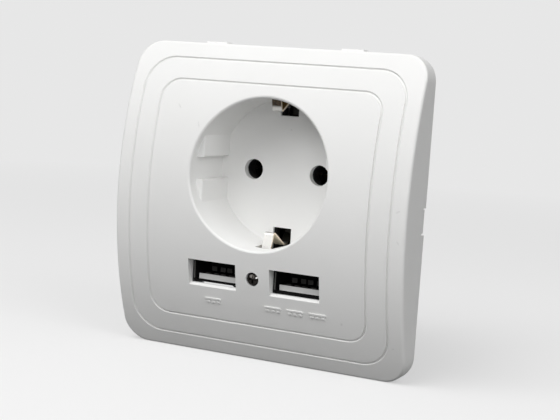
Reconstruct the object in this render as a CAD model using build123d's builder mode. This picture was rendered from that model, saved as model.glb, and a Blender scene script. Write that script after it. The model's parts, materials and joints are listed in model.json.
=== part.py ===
"""Flush wall socket with a round earthed plug recess and two USB charging ports.

Millimetres. +Z is up, the front faces -Y, +X is right as seen from the front.
The origin is the centre of the wall plane: the cover's back rim and the yoke's back lie on Y = 0.
"""
import os
from math import sqrt

from build123d import *

# Front cover
plate_size = 81.3
plate_corner = 6.5
plate_depth = 13.5
bow_radius = 91.7
shell_wall = 1.8
arris_radius = 0.8

# Ring grooves in the face: the outer one follows the plate's edge, the inner one clears the recess
outer_ring_inset = 4.35
outer_ring_corner = 7.5
inner_ring_gap = 3.24
inner_ring_corner = 5.1
groove_width = 0.27
groove_depth = 0.43
groove_step = 0.02

# Plug recess, a standard two-pin earthed form
recess_height = 8.26
recess_mouth_radius = 19.2
recess_floor_radius = 19.1
recess_depth = 17.5
recess_wall = 1.4
recess_floor_thick = 2.0
recess_lip_radius = 0.6
pin_spacing = 19.0
pin_hole_radius = 2.7
key_half_gap = 17.1
key_groove_width = 5.8
key_start = 3.2
key_bevel = 0.4
key_round = 0.45

# Earth slots and spring clips
slot_width = 5.2
slot_inner_radius = 14.75
slot_front = 12.6
slot_skin = 0.7
slot_relief = 1.2
clip_width = 2.6
clip_thick = 0.5
clip_apex_radius = 15.35
clip_apex_depth = 10.0
clip_front_depth = 8.7
clip_front_radius = 19.8
clip_foot_depth = 16.4
clip_foot_radius = 19.0
clip_bend_radius = 0.6
clip_shift = 0.4
clip_seat_gap = 0.1
clip_root_gap = 1.24
clip_root_length = 2.4
clip_knee_depth = 19.6
clip_flex_room = 1.0

# Port windows
port_spacing = 23.4
port_height = -18.35
window_width = 13.8
window_height = 6.3
window_ledge = 0.4
window_slope = 0.75
window_collar = 1.2
port_inner_width = 12.5
port_inner_height = 5.12
port_shell_thick = 0.3
port_length = 14.0
port_front_gap = 0.15
tongue_width = 11.1
tongue_thick = 1.4
tongue_setback = 1.0
tongue_rise = 0.2
tongue_bevel = 0.1
port_reach = 8.8
port_fit_gap = 0.05
port_contact_places = (-3.5, -1.0, 1.0, 3.5)
port_contact_width = 1.5
port_contact_thick = 0.25
port_contact_inset = 1.0
port_contact_hump = 1.45
port_contact_reach = 5.8

# Cover screw and the posts that it pulls together
cover_hole_radius = 1.8
cover_seat_depth = 1.9
cover_screw_radius = 1.1
cover_screw_length = 11.0
cover_head_radius = 1.65
cover_head_height = 1.6
cover_boss_radius = 2.6
cover_boss_length = 5.4
screw_clearance = 0.1

# Raised marks below the ports
mark_height = 0.2
mark_drop = 7.3
mark_line = 0.42
mark_length = 4.6
mark_dash = 0.9
mark_pitch = 6.2

# Snap pips on the top rim and snap tabs in the side walls
pip_spacing = 38.4
pip_width = 6.0
pip_rise = 0.45
pip_depth = 2.4
tab_length = 6.4
tab_depth = 1.9
tab_slit = 0.4
tab_inset = 0.3

# Yoke and its screws
yoke_rim_gap = 3.35
yoke_corner = 6.0
yoke_thick = 1.2
yoke_margin = 0.5
wall_screw_spacing = 60.0
wall_slot_width = 4.0
wall_slot_length = 7.0
post_x = 24.6
post_z = 11.0
post_radius = 2.6
yoke_screw_radius = 1.2
yoke_screw_length = 8.0
yoke_head_radius = 2.2
yoke_head_height = 1.3

# Base housing and its rear cover
housing_radius = 28.5
housing_half_width = 18.2
housing_wall = 1.6
housing_front_thick = 2.0
housing_gap = 0.3
housing_length = 22.0
flange_half_width = 27.2
flange_notch = 7.4
hood_radius = 21.6
hood_margin = 2.5
rear_cover_thick = 1.8
rear_screw_spacing = 28.0
rear_screw_z = -5.0
rear_screw_radius = 1.1
rear_screw_length = 9.0
rear_boss_radius = 2.8
rear_head_radius = 2.1
rear_head_height = 1.3
collar_gap = 0.15
collar_wall = 1.2
collar_length = 6.0

# Power contacts and terminals
sleeve_radius = 2.45
sleeve_wall = 0.8
sleeve_length = 8.4
sleeve_slit = 0.8
sleeve_setback = 3.0
strap_width = 5.0
strap_thick = 0.8
tail_width = 2.0
terminal_width = 7.0
terminal_height = 6.5
terminal_length = 9.0
terminal_gap = 0.47
terminal_spacing = 10.5
wire_radius = 1.5
wire_lift = 2.0
wire_entry_radius = 2.0
terminal_screw_radius = 1.5
terminal_screw_length = 5.0
terminal_screw_hole = 2.2
thread_clearance = 0.05
earth_strap_thick = 1.0

# Charger board and what stands on it
board_thick = 1.2
board_half_width = 19.5
board_gap = 0.2
board_end_gap = 1.2
board_front_setback = 0.3
transformer_width = 13.0
transformer_gap = 1.4
transformer_thick = 5.0
transformer_y = 19.0
transformer_leg = 1.7
winding_length = 9.5
winding_gap = 0.15
capacitor_radius = 3.0
capacitor_gap = 0.2
capacitor_vent = 0.3
capacitor_side_gap = 1.4
input_capacitor_y = 26.2
output_capacitor_y = 13.0
chip_y = 19.4
bridge_size = (6.2, 5.0, 2.4)
controller_size = (5.0, 6.0, 1.6)
chip_bevel = 0.3
safety_radius = 3.2
safety_thick = 2.6
safety_y = 13.0
safety_gap = 1.6
fuse_radius = 1.2
fuse_length = 7.0
fuse_y = 28.0

# Claws
claw_side_gap = 0.9
claw_screw_radius = 1.5
claw_screw_length = 25.0
claw_head_radius = 2.4
claw_head_height = 2.0
claw_head_gap = 0.5
claw_hole_gap = 0.2
claw_pivot_offset = 4.4
claw_pivot_y = 2.6
claw_pin_radius = 0.9
claw_pin_gap = 0.08
claw_eye_radius = 1.5
claw_thick = 0.9
claw_half_width = 4.2
claw_length = 20.0
claw_tooth = 1.2
tooth_pitch = 2.8
tooth_gap = 0.9
claw_flange_thick = 0.9
claw_ramp_y = 15.4
claw_ramp_reach = 3.8
claw_ramp_tip_y = 8.9
claw_nut_length = 5.0
claw_nut_gap = 0.5
claw_nut_inner = 2.9
claw_nut_outer = 3.4
claw_nut_half_width = 4.0
ear_gap = 0.25
ear_thick = 1.2
ear_half_width = 1.7

# Screw heads: cross recess, and how much of the head's height is rounded
cross_width = 0.55
cross_depth = 0.6
cross_reach = 1.3
head_round = 0.3

# How near a size must be for a face or an edge to be picked by it
pick_slack = 0.02


# Places worked out from the sizes above
def face_depth(z):
    """How far the bowed face stands in front of the wall at height z."""
    return plate_depth - bow_radius + sqrt(bow_radius**2 - z**2)


def housing_height(x):
    """Height of the housing's round inside above its middle at distance x from it."""
    return sqrt(inner_radius**2 - x**2)


groove_rings = (
    (plate_size / 2 - outer_ring_inset, outer_ring_corner),
    (recess_height + recess_mouth_radius + inner_ring_gap, inner_ring_corner),
)
inner_half_width = housing_half_width - housing_wall
inner_radius = housing_radius - housing_wall
yoke_size = plate_size - 2 * (shell_wall + yoke_rim_gap)
floor_y = recess_depth - face_depth(recess_height)
floor_back_y = floor_y + recess_floor_thick
mouth_y = -face_depth(recess_height)
housing_front_y = floor_back_y + housing_gap
chamber_y = housing_front_y + housing_front_thick
housing_back_y = chamber_y + housing_length
port_outer_width = port_inner_width + 2 * port_shell_thick
port_outer_height = port_inner_height + 2 * port_shell_thick
plate_back_at_port_y = -face_depth(port_height) + shell_wall
port_foot_z = port_height - port_outer_height / 2
port_front_y = -face_depth(port_foot_z) + shell_wall + port_front_gap
board_z = port_height + port_outer_height / 2
screw_seat_y = -face_depth(port_height) + cover_seat_depth
boss_end_y = plate_back_at_port_y + cover_boss_length
strap_y = chamber_y + clip_flex_room
clip_slot_length = recess_mouth_radius + 2 * recess_wall - slot_inner_radius
sleeve_y = chamber_y + sleeve_setback
sleeve_end_y = sleeve_y + sleeve_length
terminal_end_y = sleeve_end_y + terminal_length
terminal_z = housing_height(terminal_spacing + terminal_width / 2) - terminal_height - terminal_gap
clip_axis_z = recess_height + clip_shift
clip_root_radius = inner_radius - clip_root_gap - clip_axis_z
transformer_height = housing_height(transformer_width / 2) + board_z - transformer_gap
capacitor_x = inner_half_width - capacitor_radius - capacitor_side_gap
capacitor_height = housing_height(capacitor_x + capacitor_radius) + board_z - capacitor_gap
safety_z = board_z - safety_radius
safety_room = inner_radius - safety_radius - safety_gap
safety_x = min(capacitor_x, sqrt(safety_room**2 - safety_z**2))
recess_side_x = sqrt((recess_mouth_radius + recess_wall) ** 2 - recess_height**2)
claw_screw_x = max(
    housing_half_width + claw_nut_inner + claw_side_gap,
    recess_side_x + claw_head_radius + claw_head_gap,
)
claw_pivot_x = claw_screw_x + claw_pivot_offset


def facing(y):
    """Plane parallel to the wall at depth y, drawn as seen from the front."""
    return Plane.XZ.offset(-y)


def bowed_block(size, corner, depth, radius):
    """Rounded square block from the wall forward, its front a barrel about the X direction."""
    with BuildPart() as block:
        with BuildSketch(facing(0)):
            RectangleRounded(size, size, corner)
        extrude(amount=depth)
        with BuildSketch(Plane.YZ):
            with Locations((radius - depth, 0)):
                Circle(radius)
        extrude(amount=size, both=True, mode=Mode.INTERSECT)
    return block.part


def headed_screw(y, shank_radius, length, head_radius, head_height):
    """Cross-recess screw along +Y, its head's underside at depth y."""
    with BuildPart() as screw:
        with BuildSketch(facing(y + length)):
            Circle(shank_radius)
        extrude(amount=length)
        with BuildSketch(facing(y)):
            Circle(head_radius)
        extrude(amount=head_height)
        head_rim = screw.edges().group_by(Axis.Y)[0]
        fillet(head_rim, head_round * head_height)
        with BuildSketch(facing(y - head_height)):
            Rectangle(cross_reach * head_radius, cross_width)
            Rectangle(cross_width, cross_reach * head_radius)
        extrude(amount=-cross_depth, mode=Mode.SUBTRACT)
    return screw.part


def write(name, part):
    part.label = name
    export_step(part, f"parts/{name}.step")


os.makedirs("parts", exist_ok=True)

# Front cover: bowed shell with the recess, windows and grooves
inner_size = plate_size - 2 * shell_wall
shell_block = bowed_block(plate_size, plate_corner, plate_depth, bow_radius)
cavity_block = bowed_block(
    inner_size, plate_corner - shell_wall, plate_depth - shell_wall, bow_radius - shell_wall
)
groove_floor = bowed_block(
    plate_size, plate_corner, plate_depth - groove_depth, bow_radius - groove_depth
)
mark_block = bowed_block(
    plate_size, plate_corner, plate_depth + mark_height, bow_radius + mark_height
)

with BuildPart() as recess_room:
    with BuildSketch(facing(floor_y)):
        with Locations((0, recess_height)):
            Circle(recess_floor_radius)
    with BuildSketch(facing(mouth_y)):
        with Locations((0, recess_height)):
            Circle(recess_mouth_radius)
    loft()
    with BuildSketch(facing(mouth_y)):
        with Locations((0, recess_height)):
            Circle(recess_mouth_radius)
    extrude(amount=plate_depth)

# Tube around the recess, cut off inside the bowed plate
with BuildPart() as recess_tube:
    with BuildSketch(facing(floor_back_y)):
        with Locations((0, recess_height)):
            Circle(recess_floor_radius + recess_wall)
    with BuildSketch(facing(mouth_y)):
        with Locations((0, recess_height)):
            Circle(recess_mouth_radius + recess_wall)
    loft()
    with BuildSketch(Plane.YZ):
        with Locations((bow_radius - plate_depth, 0)):
            Circle(bow_radius - groove_depth)
    extrude(amount=plate_size, both=True, mode=Mode.INTERSECT)

# Each key is a chord-shaped block with a rounded front end, parted by a groove
key_y = mouth_y + key_start
key_outer = recess_mouth_radius + recess_wall / 2
with BuildPart() as keys:
    with BuildSketch(Plane.XY.offset(recess_height)):
        with BuildLine():
            Polyline(
                (key_half_gap, floor_y),
                (key_half_gap, key_y + key_bevel),
                (recess_mouth_radius, key_y),
                (key_outer, key_y),
                (key_outer, floor_y),
                close=True,
            )
        make_face()
    extrude(amount=recess_mouth_radius, both=True)
    mirror(about=Plane.YZ)
    with Locations((0, 0, recess_height)):
        Box(plate_size, plate_size, key_groove_width, mode=Mode.SUBTRACT)
    shoulders = [
        edge
        for edge in keys.edges().filter_by(Axis.Y)
        if abs(abs(edge.center().X) - key_half_gap) < pick_slack
        and abs(abs(edge.center().Z - recess_height) - key_groove_width / 2) < pick_slack
    ]
    ridges = [
        edge
        for edge in keys.edges().filter_by(Axis.Z)
        if abs(edge.center().Y - key_y - key_bevel) < pick_slack
    ]
    fillet(shoulders + ridges, key_round)
    with BuildSketch(facing(floor_back_y)):
        with Locations((0, recess_height)):
            Circle(recess_floor_radius + recess_wall / 2)
    extrude(amount=recess_depth + plate_depth, mode=Mode.INTERSECT)

with BuildPart() as groove_cut:
    for half_size, corner in groove_rings:
        with BuildSketch(facing(0)):
            ring_outer = 2 * half_size + groove_width
            ring_inner = 2 * half_size - groove_width
            RectangleRounded(ring_outer, ring_outer, corner + groove_width / 2)
            RectangleRounded(ring_inner, ring_inner, corner - groove_width / 2, mode=Mode.SUBTRACT)
        extrude(amount=plate_depth)
    add(groove_floor, mode=Mode.SUBTRACT)

# Collars behind the plate that carry the windows back to the ports
with BuildPart() as collars:
    with BuildSketch(facing(port_front_y - port_front_gap)):
        with Locations((0, port_height)):
            with GridLocations(port_spacing, 0, 2, 1):
                Rectangle(window_width + 2 * window_collar, window_height + 2 * window_collar)
    extrude(amount=plate_depth)
    add(groove_floor, mode=Mode.INTERSECT)

with BuildPart() as marks:
    with BuildSketch(facing(0)):
        right_marks = [(port_spacing / 2 + step * mark_pitch, 0) for step in (-1, 0, 1)]
        for x, _ in [(-port_spacing / 2, 0)] + right_marks:
            with Locations((x, port_height - mark_drop + mark_line)):
                Rectangle(mark_length, mark_line)
            with Locations((x, port_height - mark_drop - mark_line)):
                with GridLocations(mark_length / 3, 0, 3, 1):
                    Rectangle(mark_dash, mark_line)
    extrude(amount=plate_depth)
    add(mark_block, mode=Mode.INTERSECT)
    add(groove_floor, mode=Mode.SUBTRACT)

with BuildPart() as front_cover:
    add(shell_block)
    bowed_face = front_cover.faces().filter_by(GeomType.CYLINDER).sort_by(SortBy.AREA)[-1]
    fillet(bowed_face.edges(), arris_radius)
    # Ring grooves: a narrow floor, and a slope on the side towards the plate's edge
    add(groove_cut.part, mode=Mode.SUBTRACT)
    for half_size, _ in groove_rings:
        rim_width = 2 * half_size + groove_width
        rim = [
            wire
            for face in front_cover.faces().filter_by(GeomType.CYLINDER)
            for wire in face.inner_wires()
            if abs(wire.bounding_box().size.X - rim_width) < pick_slack
        ][0]
        chamfer(rim.edges(), groove_depth - groove_step)
    add(cavity_block, mode=Mode.SUBTRACT)
    add(recess_tube.part)
    add(recess_room.part, mode=Mode.SUBTRACT)
    field_width = 2 * groove_rings[-1][0] - groove_width
    field = [
        face
        for face in front_cover.faces().filter_by(GeomType.CYLINDER)
        if abs(face.bounding_box().size.X - field_width) < pick_slack
    ][0]
    fillet(field.inner_wires()[0].edges(), recess_lip_radius)
    # Guide keys, pin holes and earth slots
    add(keys.part)
    with BuildSketch(facing(floor_back_y)):
        with Locations((0, recess_height)):
            with GridLocations(pin_spacing, 0, 2, 1):
                Circle(pin_hole_radius)
    extrude(amount=recess_floor_thick, mode=Mode.SUBTRACT)
    with BuildSketch(facing(floor_back_y)):
        with Locations((0, recess_height)):
            with GridLocations(0, 2 * slot_inner_radius + clip_slot_length, 1, 2):
                Rectangle(slot_width, clip_slot_length)
    extrude(amount=slot_front, mode=Mode.SUBTRACT)
    # The floor is thinner from behind around the earth slots
    with BuildSketch(facing(floor_back_y)):
        with Locations((0, recess_height)):
            with GridLocations(0, 2 * slot_inner_radius + clip_slot_length, 1, 2):
                Rectangle(slot_width + 2 * slot_relief, clip_slot_length)
    extrude(amount=recess_floor_thick - slot_skin, mode=Mode.SUBTRACT)
    # Port windows with a sloping lower edge, and the screw hole in its boss
    add(collars.part)
    with BuildSketch(facing(0)):
        with Locations((0, port_height)):
            with GridLocations(port_spacing, 0, 2, 1):
                Rectangle(window_width, window_height)
    extrude(amount=plate_depth, mode=Mode.SUBTRACT)
    sill_z = port_height - window_height / 2
    sill_y = -face_depth(sill_z)
    for side in (-1, 1):
        with BuildSketch(Plane.YZ.offset(side * port_spacing / 2)):
            with BuildLine():
                Polyline(
                    (sill_y - window_ledge, sill_z),
                    (sill_y + window_slope, sill_z),
                    (sill_y - window_ledge, sill_z - window_ledge - window_slope),
                    close=True,
                )
            make_face()
        extrude(amount=window_width / 2, both=True, mode=Mode.SUBTRACT)
    with BuildSketch(facing(boss_end_y)):
        with Locations((0, port_height)):
            Circle(cover_boss_radius)
    extrude(until=Until.NEXT)
    add(marks.part)
    # Snap pips along the top rim and slit snap tabs in both side walls
    with BuildSketch(facing(0)):
        with Locations((0, (plate_size + pip_rise) / 2 - shell_wall / 2)):
            with GridLocations(pip_spacing, 0, 2, 1):
                Rectangle(pip_width, shell_wall + pip_rise)
    extrude(amount=pip_depth)
    with BuildSketch(facing(0)):
        with GridLocations(plate_size - shell_wall, tab_length, 2, 2):
            Rectangle(2 * shell_wall, tab_slit)
    extrude(amount=tab_depth, mode=Mode.SUBTRACT)
    with BuildSketch(facing(0)):
        with GridLocations(plate_size, 0, 2, 1):
            Rectangle(2 * tab_inset, tab_length)
    extrude(amount=tab_depth, mode=Mode.SUBTRACT)
    with BuildSketch(facing(boss_end_y)):
        with Locations((0, port_height)):
            Circle(cover_screw_radius + screw_clearance)
    extrude(amount=plate_depth, mode=Mode.SUBTRACT)
    with BuildSketch(facing(screw_seat_y)):
        with Locations((0, port_height)):
            Circle(cover_hole_radius)
    extrude(amount=plate_depth, mode=Mode.SUBTRACT)
write("front_cover", front_cover.part)

with BuildPart() as cover_screw:
    with Locations((0, 0, port_height)):
        add(
            headed_screw(
                screw_seat_y,
                cover_screw_radius,
                cover_screw_length,
                cover_head_radius,
                cover_head_height,
            )
        )
write("cover_screw", cover_screw.part)

# Mounting yoke: flat steel plate with a clear middle, slots for the wall screws and claw ears
recess_clear_radius = recess_mouth_radius + recess_wall + yoke_margin
board_clear_width = 2 * (board_half_width + yoke_margin)
ear_offset = claw_half_width + ear_gap + ear_thick / 2
post_places = [(x, z) for x in (-post_x, post_x) for z in (-post_z, post_z)]
with BuildPart() as mounting_yoke:
    with BuildSketch(facing(0)):
        RectangleRounded(yoke_size, yoke_size, yoke_corner)
        with Locations((0, recess_height)):
            Circle(recess_clear_radius, mode=Mode.SUBTRACT)
        with Locations((0, -housing_radius / 2)):
            Rectangle(board_clear_width, housing_radius, mode=Mode.SUBTRACT)
        with GridLocations(wall_screw_spacing, 0, 2, 1):
            SlotOverall(wall_slot_length, wall_slot_width, mode=Mode.SUBTRACT)
        with GridLocations(2 * claw_screw_x, 0, 2, 1):
            Circle(claw_screw_radius + claw_hole_gap, mode=Mode.SUBTRACT)
        with Locations(*post_places):
            Circle(yoke_screw_radius + screw_clearance, mode=Mode.SUBTRACT)
    extrude(amount=yoke_thick)
    with BuildSketch(Plane.XY):
        with GridLocations(2 * claw_pivot_x, 0, 2, 1):
            with Locations((0, (claw_pivot_y - yoke_thick / 2) / 2)):
                Rectangle(2 * ear_half_width, claw_pivot_y + yoke_thick / 2)
            with Locations((0, claw_pivot_y)):
                Circle(ear_half_width)
                Circle(claw_pin_radius, mode=Mode.SUBTRACT)
    extrude(amount=ear_offset + ear_thick / 2, both=True)
    with Locations((0, (claw_pivot_y + ear_half_width) / 2 + yoke_thick, 0)):
        Box(
            yoke_size,
            claw_pivot_y + ear_half_width + 2 * yoke_thick,
            2 * (claw_half_width + ear_gap),
            mode=Mode.SUBTRACT,
        )
write("mounting_yoke", mounting_yoke.part)

with BuildPart() as yoke_screws:
    for x, z in post_places:
        with Locations((x, 0, z)):
            add(
                headed_screw(
                    -yoke_thick,
                    yoke_screw_radius,
                    yoke_screw_length,
                    yoke_head_radius,
                    yoke_head_height,
                )
            )
write("yoke_screws", yoke_screws.part)

# Base housing: tub open at the back, with a flange and posts that the yoke is screwed to
sleeve_outer = sleeve_radius + sleeve_wall
hood_slot_length = clip_foot_radius + clip_thick + clip_flex_room - slot_inner_radius

with BuildPart() as base_housing:
    with BuildSketch(facing(housing_back_y)):
        Circle(housing_radius)
        Rectangle(2 * housing_half_width, 2 * housing_radius, mode=Mode.INTERSECT)
    extrude(amount=housing_back_y - housing_front_y)
    with BuildSketch(facing(housing_back_y)):
        Circle(inner_radius)
        Rectangle(2 * inner_half_width, 2 * inner_radius, mode=Mode.INTERSECT)
    extrude(amount=housing_back_y - chamber_y, mode=Mode.SUBTRACT)
    with BuildSketch(facing(chamber_y)):
        Circle(housing_radius)
        Rectangle(2 * flange_half_width, 2 * housing_radius, mode=Mode.INTERSECT)
        with GridLocations(2 * (housing_half_width + housing_radius / 2), 0, 2, 1):
            Rectangle(housing_radius, 2 * flange_notch, mode=Mode.SUBTRACT)
        with Locations(*post_places):
            Circle(post_radius)
        with Locations((0, recess_height + hood_radius / 2)):
            Rectangle(slot_width + 2 * hood_margin, hood_radius)
    extrude(amount=housing_front_thick)
    with BuildSketch(facing(chamber_y)):
        with Locations(*post_places):
            Circle(post_radius)
    extrude(amount=chamber_y)
    with BuildSketch(facing(chamber_y)):
        with Locations((0, port_height)):
            Circle(cover_boss_radius)
    extrude(amount=chamber_y - boss_end_y)
    with BuildSketch(facing(chamber_y + collar_length)):
        with Locations((0, recess_height)):
            with GridLocations(pin_spacing, 0, 2, 1):
                Circle(sleeve_outer + collar_gap + collar_wall)
                Circle(sleeve_outer + collar_gap, mode=Mode.SUBTRACT)
    extrude(amount=collar_length)
    with BuildSketch(facing(housing_back_y)):
        with Locations((0, rear_screw_z)):
            with GridLocations(rear_screw_spacing, 0, 2, 1):
                Circle(rear_boss_radius)
        Rectangle(2 * housing_half_width, 2 * inner_radius, mode=Mode.INTERSECT)
    extrude(amount=housing_back_y - chamber_y)
    # Openings in the front wall: pins, earth clips and the board
    with BuildSketch(facing(chamber_y)):
        with Locations((0, recess_height)):
            with GridLocations(pin_spacing, 0, 2, 1):
                Circle(pin_hole_radius)
            with GridLocations(0, 2 * slot_inner_radius + hood_slot_length, 1, 2):
                Rectangle(slot_width, hood_slot_length)
        with Locations((0, board_z + board_thick / 2)):
            Rectangle(2 * inner_half_width, board_thick + 2 * board_gap)
    extrude(amount=housing_front_thick, mode=Mode.SUBTRACT)
    # Screw holes in the posts and bosses
    with BuildSketch(facing(cover_screw_length + screw_seat_y)):
        with Locations((0, port_height)):
            Circle(cover_screw_radius + thread_clearance)
    extrude(amount=plate_depth, mode=Mode.SUBTRACT)
    with BuildSketch(facing(yoke_screw_length)):
        with Locations(*post_places):
            Circle(yoke_screw_radius + thread_clearance)
    extrude(amount=yoke_screw_length, mode=Mode.SUBTRACT)
    with BuildSketch(facing(housing_back_y)):
        with Locations((0, rear_screw_z)):
            with GridLocations(rear_screw_spacing, 0, 2, 1):
                Circle(rear_screw_radius + thread_clearance)
    extrude(amount=rear_screw_length, mode=Mode.SUBTRACT)
    # Holes in the top for the terminal screws
    with BuildSketch(Plane.XY.offset(terminal_z)):
        with Locations((0, sleeve_end_y + terminal_length / 2)):
            with GridLocations(terminal_spacing, 0, 3, 1):
                Circle(terminal_screw_hole)
    extrude(amount=housing_radius, mode=Mode.SUBTRACT)
write("base_housing", base_housing.part)

with BuildPart() as rear_cover:
    with BuildSketch(facing(housing_back_y + rear_cover_thick)):
        Circle(housing_radius)
        Rectangle(2 * housing_half_width, 2 * housing_radius, mode=Mode.INTERSECT)
        with Locations((0, terminal_z + wire_lift)):
            with GridLocations(terminal_spacing, 0, 3, 1):
                Circle(wire_entry_radius, mode=Mode.SUBTRACT)
        with Locations((0, rear_screw_z)):
            with GridLocations(rear_screw_spacing, 0, 2, 1):
                Circle(rear_screw_radius + screw_clearance, mode=Mode.SUBTRACT)
    extrude(amount=rear_cover_thick)
    back_face = rear_cover.faces().sort_by(Axis.Y)[-1]
    chamfer(back_face.outer_wire().edges(), rear_cover_thick / 3)
write("rear_cover", rear_cover.part)

with BuildPart() as rear_screws:
    for x in (-rear_screw_spacing / 2, rear_screw_spacing / 2):
        with Locations(Location((x, 0, rear_screw_z), (0, 0, 180))):
            add(
                headed_screw(
                    -(housing_back_y + rear_cover_thick),
                    rear_screw_radius,
                    rear_screw_length,
                    rear_head_radius,
                    rear_head_height,
                )
            )
write("rear_screws", rear_screws.part)

# Live and neutral contacts: slit sleeve, strap up to the terminal and tail down to the board
strap_front_y = sleeve_end_y - strap_thick
board_top_z = board_z + board_thick


def power_contact(x, terminal_x):
    """One folded brass contact around the pin at x, with its foot under the terminal."""
    foot_left = min(x, terminal_x) - strap_width / 2
    foot_right = max(x, terminal_x) + strap_width / 2
    with BuildPart() as contact:
        with BuildSketch(facing(sleeve_end_y)):
            with Locations((x, (recess_height + terminal_z) / 2)):
                Rectangle(strap_width, terminal_z - recess_height)
            with Locations((x, (recess_height + board_top_z) / 2)):
                Rectangle(tail_width, recess_height - board_top_z)
        extrude(amount=strap_thick)
        with BuildSketch(facing(sleeve_end_y)):
            with Locations((x, recess_height)):
                Circle(sleeve_outer)
        extrude(amount=sleeve_length)
        with BuildSketch(facing(sleeve_end_y)):
            with Locations((x, recess_height)):
                Circle(sleeve_radius)
        extrude(amount=sleeve_length, mode=Mode.SUBTRACT)
        with BuildSketch(facing(strap_front_y - strap_thick)):
            with Locations((x, recess_height)):
                Rectangle(4 * sleeve_outer, sleeve_slit)
        extrude(amount=sleeve_length, mode=Mode.SUBTRACT)
        with BuildSketch(Plane.XY.offset(terminal_z)):
            with Locations(((foot_left + foot_right) / 2, (strap_front_y + terminal_end_y) / 2)):
                Rectangle(foot_right - foot_left, terminal_end_y - strap_front_y)
        extrude(amount=-strap_thick)
    return contact.part


write("live_contact", power_contact(-pin_spacing / 2, -terminal_spacing))
write("neutral_contact", power_contact(pin_spacing / 2, terminal_spacing))

# Earth strap: upright behind the recess, with a foot under its terminal
with BuildPart() as earth_strap:
    with BuildSketch(Plane.YZ):
        with Locations((strap_y + earth_strap_thick / 2, clip_axis_z)):
            Rectangle(earth_strap_thick, 2 * clip_root_radius)
        with Locations(((strap_y + terminal_end_y) / 2, terminal_z - earth_strap_thick / 2)):
            Rectangle(terminal_end_y - strap_y, earth_strap_thick)
    extrude(amount=strap_width / 2, both=True)
write("earth_strap", earth_strap.part)


def earth_clip(side):
    """Bent spring strip: root on the strap, foot along the recess wall, apex inwards, front leg."""
    root_line_y = strap_y - clip_seat_gap - clip_thick / 2
    foot_line = clip_foot_radius + clip_thick / 2
    corners = (
        (root_line_y, clip_root_radius - clip_root_length),
        (root_line_y, clip_root_radius),
        (mouth_y + clip_knee_depth, foot_line),
        (mouth_y + clip_foot_depth, foot_line),
        (mouth_y + clip_apex_depth, clip_apex_radius + clip_thick / 2),
        (mouth_y + clip_front_depth, clip_front_radius),
    )
    places = [(y, clip_axis_z + side * radius) for y, radius in corners]
    with BuildPart() as clip:
        with BuildSketch(Plane.YZ):
            with BuildLine():
                FilletPolyline(*places, radius=clip_bend_radius)
            trace(line_width=clip_thick)
        extrude(amount=clip_width / 2, both=True)
    return clip.part


write("earth_clip_top", earth_clip(1))
write("earth_clip_bottom", earth_clip(-1))


# Terminal blocks with a wire bore and a clamping screw from above
def terminal_block(x):
    """Brass block at x, its wire bore along Y and its screw hole from above."""
    middle_y = sleeve_end_y + terminal_length / 2
    with BuildPart() as block:
        with Locations((x, middle_y, terminal_z + terminal_height / 2)):
            Box(terminal_width, terminal_length, terminal_height)
        chamfer(block.edges().filter_by(Axis.Y), strap_thick / 2)
        with BuildSketch(facing(terminal_end_y)):
            with Locations((x, terminal_z + wire_lift)):
                Circle(wire_radius)
        extrude(amount=terminal_length, mode=Mode.SUBTRACT)
        with BuildSketch(Plane.XY.offset(terminal_z + wire_lift)):
            with Locations((x, middle_y)):
                Circle(terminal_screw_radius + thread_clearance)
        extrude(amount=terminal_height, mode=Mode.SUBTRACT)
    return block.part


terminal_places = {"live": -terminal_spacing, "earth": 0, "neutral": terminal_spacing}
for name, x in terminal_places.items():
    write(f"{name}_terminal", terminal_block(x))

screw_bottom_z = terminal_z + wire_lift + wire_radius + screw_clearance
with BuildPart() as terminal_screws:
    with BuildSketch(Plane.XY.offset(screw_bottom_z)):
        with Locations((0, sleeve_end_y + terminal_length / 2)):
            with GridLocations(terminal_spacing, 0, 3, 1):
                Circle(terminal_screw_radius)
    extrude(amount=terminal_screw_length)
    screw_top_z = screw_bottom_z + terminal_screw_length
    with BuildSketch(Plane.XY.offset(screw_top_z)):
        with Locations((0, sleeve_end_y + terminal_length / 2)):
            with GridLocations(terminal_spacing, 0, 3, 1):
                Rectangle(2 * terminal_screw_radius + cross_width, cross_width)
    extrude(amount=-cross_depth, mode=Mode.SUBTRACT)
write("terminal_screws", terminal_screws.part)

# Charging ports: pressed shell, insulator with a low tongue, and four contacts
port_back_y = port_front_y + port_reach
port_end_y = port_front_y + port_length
tongue_front_y = port_front_y + tongue_setback
tongue_bottom_z = port_height - port_inner_height / 2 + tongue_rise
tongue_top_z = tongue_bottom_z + tongue_thick


def port_shell(x):
    """Folded metal tube, open at the front."""
    with BuildPart() as shell:
        with BuildSketch(facing(port_end_y)):
            with Locations((x, port_height)):
                RectangleRounded(port_outer_width, port_outer_height, 2 * port_shell_thick)
                RectangleRounded(
                    port_inner_width,
                    port_inner_height,
                    port_shell_thick,
                    mode=Mode.SUBTRACT,
                )
        extrude(amount=port_length)
    return shell.part


def port_tongue(x):
    """Insulator: block at the back of the shell and the tongue that carries the contacts."""
    with BuildPart() as tongue:
        with BuildSketch(facing(port_end_y)):
            with Locations((x, port_height)):
                RectangleRounded(
                    port_inner_width - 2 * port_fit_gap,
                    port_inner_height - 2 * port_fit_gap,
                    port_shell_thick,
                )
        extrude(amount=port_length - port_reach)
        with BuildSketch(facing(port_back_y)):
            with Locations((x, (tongue_bottom_z + tongue_top_z) / 2)):
                Rectangle(tongue_width, tongue_thick)
        extrude(amount=port_reach - tongue_setback)
        front_edges = tongue.edges().group_by(Axis.Y)[0]
        chamfer(front_edges.sort_by(Axis.Z)[-1], tongue_bevel)
    return tongue.part


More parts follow.
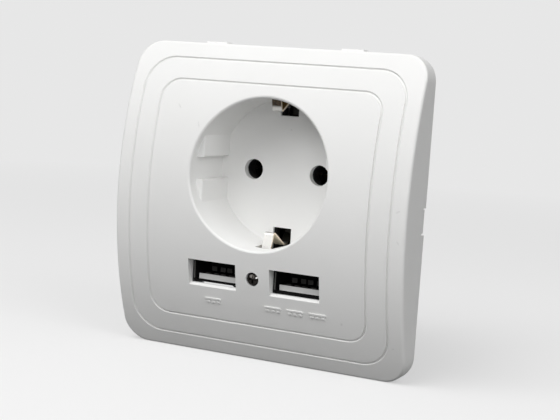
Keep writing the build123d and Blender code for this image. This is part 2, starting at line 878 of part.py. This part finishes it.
def port_contacts(x):
    """Four strips on the tongue, each with a hump that the plug presses on."""
    with BuildPart() as contacts:
        strip_y = tongue_front_y + port_contact_inset
        with BuildSketch(Plane.XY.offset(tongue_top_z)):
            for place in port_contact_places:
                with Locations((x + place, (strip_y + port_back_y) / 2)):
                    Rectangle(port_contact_width, port_back_y - strip_y)
        extrude(amount=port_contact_thick)
        with BuildSketch(facing(port_front_y + port_contact_reach)):
            for place in port_contact_places:
                with Locations((x + place, tongue_top_z + port_contact_hump / 2)):
                    Rectangle(port_contact_width, port_contact_hump)
        extrude(amount=port_contact_thick)
    return contacts.part


for name, x in (("left", -port_spacing / 2), ("right", port_spacing / 2)):
    write(f"usb_{name}_shell", port_shell(x))
    write(f"usb_{name}_tongue", port_tongue(x))
    write(f"usb_{name}_contacts", port_contacts(x))

# Charger board: lies on the ports, wide at the front and narrow inside the housing
board_front_y = port_front_y + board_front_setback
board_shoulder_y = housing_front_y - board_gap
board_back_y = housing_back_y - board_end_gap
board_inner_half = inner_half_width - board_gap
with BuildPart() as charger_board:
    with BuildSketch(Plane.XY.offset(board_z)):
        with Locations((0, (board_front_y + board_shoulder_y) / 2)):
            Rectangle(2 * board_half_width, board_shoulder_y - board_front_y)
        with Locations((0, (board_shoulder_y + board_back_y) / 2)):
            Rectangle(2 * board_inner_half, board_back_y - board_shoulder_y)
    extrude(amount=board_thick)
write("charger_board", charger_board.part)

# Transformer under the board: an E-shaped core around a winding
core_z = board_z - transformer_height / 2
core_window_width = transformer_width / 2 - 1.5 * transformer_leg
core_window_height = transformer_height - 2 * transformer_leg
with BuildPart() as transformer_core:
    with BuildSketch(facing(transformer_y + transformer_thick / 2)):
        with Locations((0, core_z)):
            Rectangle(transformer_width, transformer_height)
            with GridLocations(transformer_leg + core_window_width, 0, 2, 1):
                Rectangle(core_window_width, core_window_height, mode=Mode.SUBTRACT)
    extrude(amount=transformer_thick)
write("transformer_core", transformer_core.part)

winding_width = transformer_leg + 2 * core_window_width - 2 * winding_gap
winding_height = core_window_height - 2 * winding_gap
with BuildPart() as transformer_winding:
    with BuildSketch(Plane.XY.offset(core_z)):
        with Locations((0, transformer_y)):
            RectangleRounded(winding_width, winding_length, transformer_leg)
            Rectangle(
                transformer_leg + 2 * winding_gap,
                transformer_thick + 2 * winding_gap,
                mode=Mode.SUBTRACT,
            )
    extrude(amount=winding_height / 2, both=True)
write("transformer_winding", transformer_winding.part)


def can_capacitors(places):
    """Upright round cans hanging under the board, with a scored cap."""
    with BuildPart() as cans:
        with BuildSketch(Plane.XY.offset(board_z)):
            with Locations(*places):
                Circle(capacitor_radius)
        extrude(amount=-capacitor_height)
        fillet(cans.edges().group_by(Axis.Z)[0], capacitor_vent)
        with BuildSketch(Plane.XY.offset(board_z - capacitor_height)):
            with Locations(*places):
                Rectangle(capacitor_radius, capacitor_vent)
                Rectangle(capacitor_vent, capacitor_radius)
        extrude(amount=capacitor_vent / 2, mode=Mode.SUBTRACT)
    return cans.part


input_places = [(-capacitor_x, input_capacitor_y), (capacitor_x, input_capacitor_y)]
write("input_capacitors", can_capacitors(input_places))
write("output_capacitor", can_capacitors([(-capacitor_x, output_capacitor_y)]))


def chip(x, size):
    """Moulded block soldered under the board."""
    with BuildPart() as block:
        with BuildSketch(Plane.XY.offset(board_z)):
            with Locations((x, chip_y)):
                Rectangle(size[0], size[1])
        extrude(amount=-size[2])
        chamfer(block.edges().group_by(Axis.Z)[0], chip_bevel)
    return block.part


write("rectifier_bridge", chip(capacitor_x, bridge_size))
write("controller_chip", chip(-capacitor_x, controller_size))

with BuildPart() as safety_capacitor:
    with BuildSketch(facing(safety_y + safety_thick / 2)):
        with Locations((safety_x, safety_z)):
            Circle(safety_radius)
    extrude(amount=safety_thick)
    fillet(safety_capacitor.edges().filter_by(GeomType.CIRCLE), safety_thick / 4)
write("safety_capacitor", safety_capacitor.part)

with BuildPart() as fuse_resistor:
    with BuildSketch(Plane.YZ):
        with Locations((fuse_y, board_z - fuse_radius)):
            Circle(fuse_radius)
    extrude(amount=fuse_length / 2, both=True)
    fillet(fuse_resistor.edges().filter_by(GeomType.CIRCLE), fuse_radius / 3)
write("fuse_resistor", fuse_resistor.part)

# Spreading claws at left and right: each swings on a pin as its nut is drawn up by its screw
eye_hole_radius = claw_pin_radius + claw_pin_gap
web_inner_x = claw_pivot_x - claw_thick / 2
web_outer_x = claw_pivot_x + claw_thick / 2
claw_end_y = claw_pivot_y + claw_length
tooth_x = web_outer_x + claw_tooth
flange_start_y = claw_pivot_y + claw_eye_radius
nut_front_y = claw_ramp_y + claw_nut_gap


def claw(side):
    """Channel-shaped claw: rolled eye, web, two ramp flanges and outward teeth."""
    with BuildPart() as body:
        with BuildSketch(Plane.XY):
            with Locations((side * claw_pivot_x, claw_pivot_y)):
                Circle(claw_eye_radius)
            with Locations((side * claw_pivot_x, (claw_pivot_y + claw_end_y) / 2)):
                Rectangle(claw_thick, claw_length)
            with BuildLine():
                Polyline(
                    (side * web_inner_x, claw_end_y),
                    (side * tooth_x, claw_end_y - claw_tooth / 2),
                    (side * tooth_x, claw_end_y - claw_tooth),
                    (side * web_inner_x, claw_end_y - claw_tooth),
                    close=True,
                )
            make_face()
        extrude(amount=claw_half_width, both=True)
        for edge in (-1, 1):
            with BuildSketch(Plane.XY.offset(edge * (claw_half_width - claw_flange_thick / 2))):
                with BuildLine():
                    Polyline(
                        (side * web_inner_x, flange_start_y),
                        (side * (claw_pivot_x - claw_ramp_reach), claw_ramp_tip_y),
                        (side * (web_inner_x - claw_nut_gap), claw_ramp_y),
                        (side * web_inner_x, claw_ramp_y),
                        close=True,
                    )
                make_face()
            extrude(amount=claw_flange_thick / 2, both=True)
        with BuildSketch(Plane.YZ.offset(side * claw_pivot_x)):
            with Locations((claw_end_y, 0)):
                with GridLocations(0, tooth_pitch, 1, 2):
                    Rectangle(2 * claw_tooth, tooth_gap)
        extrude(amount=2 * claw_tooth, both=True, mode=Mode.SUBTRACT)
        with BuildSketch(Plane.XY):
            with Locations((side * claw_pivot_x, claw_pivot_y)):
                Circle(eye_hole_radius)
        extrude(amount=claw_half_width, both=True, mode=Mode.SUBTRACT)
    return body.part


def claw_nut(side):
    """Square nut that runs along the claw screw."""
    with BuildPart() as nut:
        with BuildSketch(facing(nut_front_y + claw_nut_length)):
            with Locations((side * (claw_screw_x + (claw_nut_outer - claw_nut_inner) / 2), 0)):
                Rectangle(claw_nut_inner + claw_nut_outer, 2 * claw_nut_half_width)
            with Locations((side * claw_screw_x, 0)):
                Circle(claw_screw_radius + thread_clearance, mode=Mode.SUBTRACT)
        extrude(amount=claw_nut_length)
    return nut.part


def claw_screw(side):
    """Cross-recess screw through the yoke, its head bearing on the yoke's front."""
    with BuildPart() as screw:
        with Locations((side * claw_screw_x, 0, 0)):
            add(
                headed_screw(
                    -yoke_thick - thread_clearance,
                    claw_screw_radius,
                    claw_screw_length,
                    claw_head_radius,
                    claw_head_height,
                )
            )
    return screw.part


for name, side in (("left", -1), ("right", 1)):
    write(f"claw_{name}", claw(side))
    write(f"claw_nut_{name}", claw_nut(side))
    write(f"claw_screw_{name}", claw_screw(side))

with BuildPart() as claw_pins:
    with BuildSketch(Plane.XY):
        with Locations((0, claw_pivot_y)):
            with GridLocations(2 * claw_pivot_x, 0, 2, 1):
                Circle(claw_pin_radius)
    extrude(amount=ear_offset + ear_thick / 2, both=True)
write("claw_pins", claw_pins.part)
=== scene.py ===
"""Looks of the USB wall socket: materials, screw threads, studio and camera, in metres."""

import json
import math

import bpy
from mathutils import Matrix, Vector


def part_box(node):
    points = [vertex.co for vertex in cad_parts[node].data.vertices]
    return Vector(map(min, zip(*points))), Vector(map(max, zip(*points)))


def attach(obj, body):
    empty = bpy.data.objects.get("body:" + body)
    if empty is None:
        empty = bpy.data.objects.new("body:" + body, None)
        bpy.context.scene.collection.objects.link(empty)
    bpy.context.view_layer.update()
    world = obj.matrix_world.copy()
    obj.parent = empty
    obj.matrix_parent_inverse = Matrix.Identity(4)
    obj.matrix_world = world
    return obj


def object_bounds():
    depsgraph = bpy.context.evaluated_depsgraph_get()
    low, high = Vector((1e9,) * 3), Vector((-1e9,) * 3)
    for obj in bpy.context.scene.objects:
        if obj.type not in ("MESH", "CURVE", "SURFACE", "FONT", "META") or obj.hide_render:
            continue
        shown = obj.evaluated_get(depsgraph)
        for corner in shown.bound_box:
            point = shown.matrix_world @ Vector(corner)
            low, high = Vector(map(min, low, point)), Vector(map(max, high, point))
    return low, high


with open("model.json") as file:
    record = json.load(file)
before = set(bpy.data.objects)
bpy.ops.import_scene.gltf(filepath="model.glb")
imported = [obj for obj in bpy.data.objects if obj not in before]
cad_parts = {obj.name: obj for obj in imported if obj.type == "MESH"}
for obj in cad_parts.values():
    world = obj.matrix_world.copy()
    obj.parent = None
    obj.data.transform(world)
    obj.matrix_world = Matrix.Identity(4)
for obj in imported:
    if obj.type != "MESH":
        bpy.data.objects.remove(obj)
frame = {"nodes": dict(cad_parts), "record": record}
cad_low, cad_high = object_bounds()
nodes = frame["nodes"]
MM = 0.001

# Camera fitted to the photograph, in the part's own frame
camera_place = Vector((137.46, -289.25, 33.90)) * MM
camera_forward = Vector((-0.42402219, 0.89901854, -0.10941134))
camera_up = Vector((-0.10684978, 0.07030556, 0.9917864))
camera_lens = 79.48
camera_sensor = 36.0
camera_near = 0.01
camera_far = 20

# Studio: lamp places and sizes in millimetres, power in watts
key_place = (-220, -460, 600)
key_size = 600
key_power = 4.35
side_place = (665, -330, 430)
side_size = 500
side_power = 2.3
front_place = (250, -700, 60)
front_size = 500
front_power = 1.4
world_strength = 0.37

# Floor, in metres: its flat part, the sweep up at its rim, and where its near tone gives way to the far one
floor_middle = 0.02
floor_reach = 1.2
floor_sweep = 0.5
floor_near = 0.12
floor_far = 0.6
floor_steps = 96
sweep_steps = 24
floor_tone = 0.42
floor_glow = 0.46
backdrop_glow = 0.80
bounce_tone = 0.05

# Faint marks on the cover, seen in the photograph: middle x and z, length, width (mm) and turn (degrees)
face_marks = (
    (-24.7, 23.9, 1.0, 0.30, 51),
    (-18.25, 19.6, 1.1, 0.28, 71),
    (38.3, 3.1, 0.8, 0.30, -29),
    (38.8, -4.3, 0.7, 0.28, 53),
    (24.4, -26.7, 0.5, 0.45, 0),
    (37.8, -31.1, 0.4, 0.30, 0),
    (0.75, 19.5, 0.35, 0.30, 0),
)
mark_strength = 0.16

# Painted highlights on the cover screw, a soft sheen and a sharp glint, written in the same way
screw_painted_sheen = (-0.25, -17.65, 0.85, 0.65, 20)
screw_painted_glint = (1.05, -17.88, 0.45, 0.28, -30)

# Earth clips: heights between which the upper one turns brown, partly a tint and partly a painted reflection
# of dark surroundings, and depths between which both go near black with painted shade (mm)
clip_brown_reflection_from = 25.2
clip_brown_reflection_to = 25.8
clip_painted_shade_from = 3
clip_painted_shade_to = 6
# Clip colours: brown tint with painted reflection, painted shade on crests and deep in the slots, bare brass
# cut edges, and the inner faces' painted light and shade
clip_brown_reflection_dark = (0.025, 0.017, 0.011)
clip_brown_reflection_light = (0.09, 0.064, 0.042)
clip_crest_painted_shade = (0.40, 0.39, 0.37)
clip_cut_edge = (0.88, 0.76, 0.60)
clip_painted_shade = (0.02, 0.018, 0.015)
clip_inside_lower_painted_light = (0.95, 0.85, 0.68)
clip_inside_upper_brown_and_shade = (0.14, 0.085, 0.025)

# Ports, in millimetres: middle of each, halves of the space in its shell, half height of its upright edges
port_middle = 11.7
port_height = -18.35
port_half_width = 6.4
port_half_height = 2.7
port_edge_height = 2.2
# Near black painted shade for the insides of the ports, where no light reaches
port_painted_shade = (0.012, 0.012, 0.012)

# Depths, in millimetres: front of the ports' tongues, where they end and their painted shade stops, and
# where the painted shade on the pin sleeves gives way to bright brass
tongue_front = -7.95
tongue_shade = 0.3
tongue_end_from = 0
tongue_end_to = 2
sleeve_painted_shade_to = 12
sleeve_bright_from = 18

# Threads of the claw screws, in millimetres: eight turns draw the nut along its whole travel
thread_pitch = 0.7
thread_radius = 1.5
thread_rise = 0.045
thread_start = 1.0
thread_end_gap = 0.6
thread_steps = 24

# Corners of the thread's ridge: shares of the pitch along the screw, and of the rise outwards
thread_profile = ((-0.4, -0.3), (0.0, 1.0), (0.4, -0.3))


class Tree:
    """Short calls for building one material's node tree."""

    def __init__(self, name):
        self.slot = name
        self.material = bpy.data.materials.new(name)
        self.material.use_nodes = True
        self.nodes = self.material.node_tree.nodes
        self.links = self.material.node_tree.links
        self.shader = self.nodes["Principled BSDF"]
        source = self.nodes.new("ShaderNodeTexCoord")
        self.place = source.outputs["Object"]
        self.normal = source.outputs["Normal"]

    def set(self, **values):
        """Plain values on the shader's own sockets, with spaces written as underscores."""
        for name, value in values.items():
            self.shader.inputs[name.replace("_", " ")].default_value = value

    def feed(self, socket, output):
        """A node's output into one of the shader's sockets."""
        self.links.new(output, self.shader.inputs[socket])

    def put(self, node, name, value):
        """A value or another node's output into one input of a node."""
        socket = node.inputs[name]
        if isinstance(value, bpy.types.NodeSocket):
            self.links.new(value, socket)
        else:
            socket.default_value = value

    def noise(self, per_mm, detail, stretch=(1, 1, 1)):
        """Noise with about per_mm features to each millimetre."""
        mapping = self.nodes.new("ShaderNodeMapping")
        mapping.inputs["Scale"].default_value = stretch
        self.links.new(self.place, mapping.inputs["Vector"])
        texture = self.nodes.new("ShaderNodeTexNoise")
        self.links.new(mapping.outputs["Vector"], texture.inputs["Vector"])
        texture.inputs["Scale"].default_value = per_mm / MM
        texture.inputs["Detail"].default_value = detail
        texture.inputs["Roughness"].default_value = 0.55
        return texture.outputs["Fac"]

    def along(self, vector, axis):
        """One part, X, Y or Z, of a vector."""
        node = self.nodes.new("ShaderNodeSeparateXYZ")
        self.links.new(vector, node.inputs[0])
        return node.outputs[axis]

    def spread(self, value, low, high, to_low, to_high):
        """Maps a value from one range to another and stops at both ends."""
        node = self.nodes.new("ShaderNodeMapRange")
        self.put(node, "Value", value)
        for name, number in (
            ("From Min", low),
            ("From Max", high),
            ("To Min", to_low),
            ("To Max", to_high),
        ):
            node.inputs[name].default_value = number
        return node.outputs["Result"]

    def fade(self, axis, start_mm, end_mm):
        """0 up to one place along an axis of the part, 1 from another."""
        return self.spread(self.along(self.place, axis), start_mm * MM, end_mm * MM, 0.0, 1.0)

    def calc(self, operation, first, second):
        """Result of one math operation on two values."""
        node = self.nodes.new("ShaderNodeMath")
        node.operation = operation
        self.put(node, 0, first)
        self.put(node, 1, second)
        return node.outputs[0]

    def mix(self, share, first, second):
        """Colour between two colours, by a share from 0 to 1."""
        node = self.nodes.new("ShaderNodeMix")
        node.data_type = "RGBA"
        self.put(node, 0, share)
        # Inputs 6 and 7 take the two colours, and output 2 gives the mixed one
        for index, value in ((6, first), (7, second)):
            if isinstance(value, tuple):
                value = (*value, 1.0)
            self.put(node, index, value)
        return node.outputs[2]

    def streak(self, x, z, length, width, turn):
        """1 inside a small oval that lies along the face, 0 outside it."""
        mapping = self.nodes.new("ShaderNodeMapping")
        mapping.vector_type = "TEXTURE"
        mapping.inputs["Location"].default_value = (x * MM, 0, z * MM)
        mapping.inputs["Rotation"].default_value = (0, math.radians(turn), 0)
        mapping.inputs["Scale"].default_value = (length * MM, 1, width * MM)
        self.links.new(self.place, mapping.inputs["Vector"])
        size = self.nodes.new("ShaderNodeVectorMath")
        size.operation = "LENGTH"
        self.links.new(mapping.outputs["Vector"], size.inputs[0])
        return self.spread(size.outputs["Value"], 0.3, 1.0, 1.0, 0.0)

    def bump(self, height, depth_mm):
        """Relief of the given depth on the shader's surface."""
        node = self.nodes.new("ShaderNodeBump")
        node.inputs["Strength"].default_value = 1.0
        node.inputs["Distance"].default_value = depth_mm * MM
        self.links.new(height, node.inputs["Height"])
        self.feed("Normal", node.outputs["Normal"])


def shade(colour, factor):
    """A colour made lighter or darker."""
    return tuple(min(1.0, part * factor) for part in colour)


def moulded(name, colour, roughness, grain_mm, depth_mm, shift=0.03):
    """Moulded plastic: a slight drift in tone, fine grain, and uneven gloss."""
    tree = Tree(name)
    drift = tree.spread(tree.noise(0.05, 2.0), 0.35, 0.65, 0.0, 1.0)
    tree.colour = tree.mix(drift, shade(colour, 1 - shift), shade(colour, 1 + shift))
    tree.feed("Base Color", tree.colour)
    sheen = tree.noise(0.3, 4.0)
    tree.feed("Roughness", tree.spread(sheen, 0.3, 0.7, roughness * 0.85, roughness * 1.15))
    tree.bump(tree.noise(1 / grain_mm, 3.0), depth_mm)
    return tree


def plated(name, colour, roughness, brush=(1, 1, 1), per_mm=2.0, depth_mm=0.002):
    """Plated or bare metal: fine brushing, smeared gloss and a slight stain."""
    tree = Tree(name)
    tree.set(Metallic=1.0)
    stain = tree.spread(tree.noise(0.25, 4.0), 0.4, 0.75, 0.0, 1.0)
    tree.colour = tree.mix(stain, colour, shade(colour, 0.8))
    tree.feed("Base Color", tree.colour)
    lines = tree.noise(per_mm, 4.0, brush)
    tree.feed("Roughness", tree.spread(lines, 0.3, 0.7, roughness * 0.75, roughness * 1.3))
    tree.bump(lines, depth_mm)
    return tree


def cover_plastic():
    """Satin white plastic with the few faint marks of handling."""
    tree = moulded("white_plastic", (0.87, 0.87, 0.86), 0.48, 0.25, 0.002, 0.008)
    tree.set(Specular_IOR_Level=0.22)
    marks = 0.0
    for mark in face_marks:
        marks = tree.calc("MAXIMUM", marks, tree.streak(*mark))
    uneven = tree.spread(tree.noise(3.0, 2.0), 0.3, 0.6, 0.3, 1.0)
    share = tree.calc("MULTIPLY", tree.calc("MULTIPLY", marks, uneven), mark_strength)
    tree.feed("Base Color", tree.mix(share, tree.colour, (0.10, 0.10, 0.09)))
    return tree


def facing_share(tree, axis):
    """1 on faces that look along an axis, either way, 0 on the others."""
    size = tree.calc("ABSOLUTE", tree.along(tree.normal, axis), 0.0)
    return tree.spread(size, 0.7, 0.9, 0.0, 1.0)


def clip_metal():
    """Tinned strip with bare brass on the cut edges, and painted light and shade: the upper clip brown above
    its bend, partly a tint and partly a painted reflection, painted shade on upward crests and deep in the
    slots, and inner faces painted pale on the lower clip and dark brown on the upper.
    """
    tree = plated("tinned_brass", (0.79, 0.78, 0.75), 0.34, (1, 0.1, 0.1), 2.5, 0.0003)
    up = tree.along(tree.normal, "Z")
    within = tree.calc("GREATER_THAN", tree.calc("MULTIPLY", up, tree.along(tree.place, "Z")), 0.0)
    tree.feed("Metallic", tree.spread(within, 0.0, 1.0, 0.4, 0.0))
    tree.feed("Specular IOR Level", tree.spread(within, 0.0, 1.0, 0.25, 0.0))
    patch = tree.spread(tree.noise(1.6, 3.0), 0.4, 0.6, 0.0, 1.0)
    brown_reflection = tree.mix(patch, clip_brown_reflection_dark, clip_brown_reflection_light)
    # Painted shade: outer faces that look straight up are painted grey
    crest = tree.mix(tree.spread(up, 0.75, 0.95, 0.0, 1.0), tree.colour, clip_crest_painted_shade)
    # Brown tint and painted reflection of dark surroundings on the upper clip above its bend; the bend keeps
    # its bright tin
    outer = tree.mix(tree.fade("Z", clip_brown_reflection_from, clip_brown_reflection_to), crest, brown_reflection)
    # Inner faces: painted light on the lower clip, brown tint with painted shade on the upper
    inner = tree.mix(tree.fade("Z", 0, 1), clip_inside_lower_painted_light, clip_inside_upper_brown_and_shade)
    cut = tree.mix(facing_share(tree, "X"), tree.mix(within, outer, inner), clip_cut_edge)
    # Painted shade: both strips are painted near black where they go deep into their slots
    tree.feed("Base Color", tree.mix(tree.fade("Y", clip_painted_shade_from, clip_painted_shade_to), cut, clip_painted_shade))
    return tree


def port_insulator():
    """Pale front of the tongue, and painted shade on the body behind it: near black and dull."""
    tree = moulded("white_insulator", (0.80, 0.80, 0.79), 0.5, 0.2, 0.004)
    # Painted shade: behind its pale front the tongue is painted near black and dull, back to where it ends
    behind_front = tree.fade("Y", tongue_front, tongue_front + tongue_shade)
    inside = tree.calc("SUBTRACT", behind_front, tree.fade("Y", tongue_end_from, tongue_end_to))
    tree.feed("Base Color", tree.mix(inside, tree.colour, port_painted_shade))
    tree.feed("Specular IOR Level", tree.spread(inside, 0.0, 1.0, 0.3, 0.0))
    return tree


def port_metal(name, colour, shaded_edge_colour):
    """Plating with painted shade inside the port: near black and dull there, dark grey on its front edges,
    and bright outside.
    """
    tree = plated(name, colour, 0.3, (1, 0.2, 1))
    across = tree.calc("SUBTRACT", tree.calc("ABSOLUTE", tree.along(tree.place, "X"), 0.0), port_middle * MM)
    upright = tree.calc("SUBTRACT", tree.along(tree.place, "Z"), port_height * MM)
    beyond_side = tree.calc("GREATER_THAN", tree.calc("ABSOLUTE", across, 0.0), port_half_width * MM)
    beyond_top = tree.calc("GREATER_THAN", tree.calc("ABSOLUTE", upright, 0.0), port_half_height * MM)
    beyond = tree.calc("MAXIMUM", beyond_side, beyond_top)
    front = facing_share(tree, "Y")
    outside = tree.calc("MULTIPLY", beyond, tree.calc("SUBTRACT", 1.0, front))
    level = tree.calc("GREATER_THAN", tree.calc("ABSOLUTE", upright, 0.0), port_edge_height * MM)
    # Painted shade: front edges inside the port dark grey near the middle and black at top and bottom
    edge = tree.mix(level, shaded_edge_colour, port_painted_shade)
    tree.feed("Base Color", tree.mix(outside, tree.mix(front, port_painted_shade, edge), tree.colour))
    tree.feed("Metallic", outside)
    tree.feed("Specular IOR Level", tree.spread(outside, 0.0, 1.0, 0.0, 0.5))
    return tree


def contact_brass():
    """Brass with painted shade at the front, where the pins enter: near black there, its own colour further
    back.
    """
    tree = plated("brass", (0.78, 0.58, 0.26), 0.32)
    bright = tree.fade("Y", sleeve_painted_shade_to, sleeve_bright_from)
    # Painted shade: the front of the sleeves is painted near black
    tree.feed("Base Color", tree.mix(bright, (0.012, 0.01, 0.008), tree.colour))
    return tree


def steel_with_painted_highlights():
    """Blackened steel of the cover screw, with a painted sheen and a painted glint on its head."""
    tree = plated("dark_steel", (0.022, 0.02, 0.018), 0.22)
    # Painted highlights: a grey sheen and a near white glint on the head
    with_painted_sheen = tree.mix(tree.streak(*screw_painted_sheen), tree.colour, (0.27, 0.255, 0.24))
    tree.feed("Base Color", tree.mix(tree.streak(*screw_painted_glint), with_painted_sheen, (0.95, 0.94, 0.92)))
    return tree


materials = (
    cover_plastic(),
    port_insulator(),
    moulded("dark_plastic", (0.022, 0.022, 0.023), 0.48, 0.3, 0.008, 0.1),
    plated("zinc_steel", (0.60, 0.61, 0.63), 0.34),
    steel_with_painted_highlights(),
    clip_metal(),
    # The last colour of each port metal is the painted shade on its front edges inside the port
    port_metal("nickel", (0.60, 0.59, 0.56), (0.14, 0.14, 0.135)),
    port_metal("contact_metal", (0.58, 0.55, 0.48), (0.08, 0.078, 0.075)),
    contact_brass(),
    moulded("board_laminate", (0.008, 0.02, 0.012), 0.4, 0.2, 0.003, 0.1),
    moulded("ferrite", (0.05, 0.05, 0.055), 0.6, 0.15, 0.01, 0.15),
    moulded("yellow_tape", (0.72, 0.52, 0.06), 0.4, 0.3, 0.006, 0.06),
    moulded("capacitor_sleeve", (0.02, 0.03, 0.09), 0.3, 0.3, 0.003, 0.1),
    moulded("black_resin", (0.02, 0.02, 0.02), 0.55, 0.12, 0.008, 0.15),
    moulded("blue_ceramic", (0.05, 0.16, 0.45), 0.25, 0.5, 0.01, 0.08),
    moulded("fuse_body", (0.38, 0.44, 0.34), 0.35, 0.3, 0.006, 0.08),
)
slot_materials = {tree.slot: tree.material for tree in materials}
for part in frame["record"]["subparts"]:
    mesh = nodes[part["node"]].data
    mesh.materials.clear()
    mesh.materials.append(slot_materials[part["material_slot"]])


def screw_thread(side):
    """Ridge wound around one claw screw, in its own place on the part."""
    low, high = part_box(f"claw_screw_{side}")
    middle = (low + high) / 2
    length = high.y / MM - thread_end_gap - thread_start
    turns = int(length / thread_pitch)
    points = []
    faces = []
    for step in range(turns * thread_steps + 1):
        angle = 2 * math.pi * step / thread_steps
        along = thread_start + thread_pitch * step / thread_steps
        for across, rise in thread_profile:
            radius = (thread_radius + rise * thread_rise) * MM
            depth = (along + across * thread_pitch) * MM
            points.append((middle.x + radius * math.cos(angle), depth, middle.z + radius * math.sin(angle)))
        if step:
            base = 3 * step
            faces.append((base - 3, base - 2, base + 1, base))
            faces.append((base - 2, base - 1, base + 2, base + 1))
            faces.append((base - 1, base - 3, base, base + 2))
    faces.append((0, 1, 2))
    faces.append((len(points) - 1, len(points) - 2, len(points) - 3))
    mesh = bpy.data.meshes.new(f"claw_thread_{side}")
    mesh.from_pydata(points, [], faces)
    mesh.materials.append(slot_materials["zinc_steel"])
    thread = bpy.data.objects.new(f"claw_thread_{side}", mesh)
    bpy.context.scene.collection.objects.link(thread)
    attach(thread, f"screw_{side}")


screw_thread("left")
screw_thread("right")


def studio_floor():
    """Round floor that sweeps up into a low wall all the way round."""
    rings = [(floor_middle, 0.0), (floor_reach, 0.0)]
    for step in range(1, sweep_steps + 1):
        angle = math.pi / 2 * step / sweep_steps
        rings.append((floor_reach + floor_sweep * math.sin(angle), floor_sweep * (1 - math.cos(angle))))
    points = []
    for radius, height in rings:
        for step in range(floor_steps):
            turn = 2 * math.pi * step / floor_steps
            points.append((radius * math.cos(turn), radius * math.sin(turn), cad_low.z + height))
    faces = [tuple(range(floor_steps))]
    for ring in range(len(rings) - 1):
        inner = ring * floor_steps
        outer = inner + floor_steps
        for step in range(floor_steps):
            after = (step + 1) % floor_steps
            faces.append((inner + step, outer + step, outer + after, inner + after))
    mesh = bpy.data.meshes.new("studio_floor")
    mesh.from_pydata(points, [], faces)
    for face in mesh.polygons:
        face.use_smooth = True
    floor = bpy.data.objects.new("studio_floor", mesh)
    bpy.context.scene.collection.objects.link(floor)
    return floor


def grey(tone):
    """Neutral colour with full cover."""
    return (tone, tone, tone, 1)


def floor_material():
    """Pale and evenly lit where it is seen or mirrored, darker for the light that it throws back."""
    tree = Tree("studio_floor")
    make = tree.nodes.new
    path = make("ShaderNodeLightPath")
    seen = tree.calc("MAXIMUM", path.outputs["Is Camera Ray"], path.outputs["Is Glossy Ray"])
    seen = tree.calc("MAXIMUM", seen, path.outputs["Is Transmission Ray"])
    lit = make("ShaderNodeBsdfDiffuse")
    lit.inputs["Color"].default_value = grey(floor_tone)
    near_glow = make("ShaderNodeEmission")
    near_glow.inputs["Color"].default_value = grey(floor_glow)
    near = make("ShaderNodeAddShader")
    tree.links.new(lit.outputs[0], near.inputs[0])
    tree.links.new(near_glow.outputs[0], near.inputs[1])
    far = make("ShaderNodeEmission")
    far.inputs["Color"].default_value = grey(backdrop_glow)
    distance = make("ShaderNodeVectorMath")
    distance.operation = "LENGTH"
    tree.links.new(tree.place, distance.inputs[0])
    pale = make("ShaderNodeMixShader")
    tree.links.new(tree.spread(distance.outputs["Value"], floor_near, floor_far, 0.0, 1.0), pale.inputs[0])
    tree.links.new(near.outputs[0], pale.inputs[1])
    tree.links.new(far.outputs[0], pale.inputs[2])
    dim = make("ShaderNodeBsdfDiffuse")
    dim.inputs["Color"].default_value = grey(bounce_tone)
    mix = make("ShaderNodeMixShader")
    tree.links.new(seen, mix.inputs[0])
    tree.links.new(dim.outputs[0], mix.inputs[1])
    tree.links.new(pale.outputs[0], mix.inputs[2])
    tree.links.new(mix.outputs[0], tree.nodes["Material Output"].inputs["Surface"])
    tree.nodes.remove(tree.shader)
    return tree.material


floor = studio_floor()
floor.data.materials.append(floor_material())


def area_lamp(name, place, size, power):
    """Soft square lamp aimed at the part, its place and size in millimetres."""
    light = bpy.data.lights.new(name, "AREA")
    light.size = size * MM
    light.energy = power
    lamp = bpy.data.objects.new(name, light)
    lamp.location = Vector(place) * MM
    lamp.rotation_mode = "QUATERNION"
    lamp.rotation_quaternion = (-Vector(place)).to_track_quat("-Z", "Y")
    lamp.visible_camera = False
    bpy.context.scene.collection.objects.link(lamp)


area_lamp("key", key_place, key_size, key_power)
area_lamp("side", side_place, side_size, side_power)
area_lamp("front", front_place, front_size, front_power)

world = bpy.data.worlds.new("studio")
world.use_nodes = True
backing = world.node_tree.nodes["Background"]
backing.inputs["Color"].default_value = grey(1.0)
backing.inputs["Strength"].default_value = world_strength
bpy.context.scene.world = world

camera = bpy.data.objects.new("camera", bpy.data.cameras.new("camera"))
camera.data.sensor_fit = "HORIZONTAL"
camera.data.sensor_width = camera_sensor
camera.data.lens = camera_lens
camera.data.clip_start = camera_near
camera.data.clip_end = camera_far
back = -camera_forward.normalized()
right = camera_up.cross(back).normalized()
up = back.cross(right)
camera.matrix_world = Matrix.Translation(camera_place) @ Matrix((right, up, back)).transposed().to_4x4()
bpy.context.scene.collection.objects.link(camera)
bpy.context.scene.camera = camera
bpy.context.scene.view_settings.view_transform = "Standard"
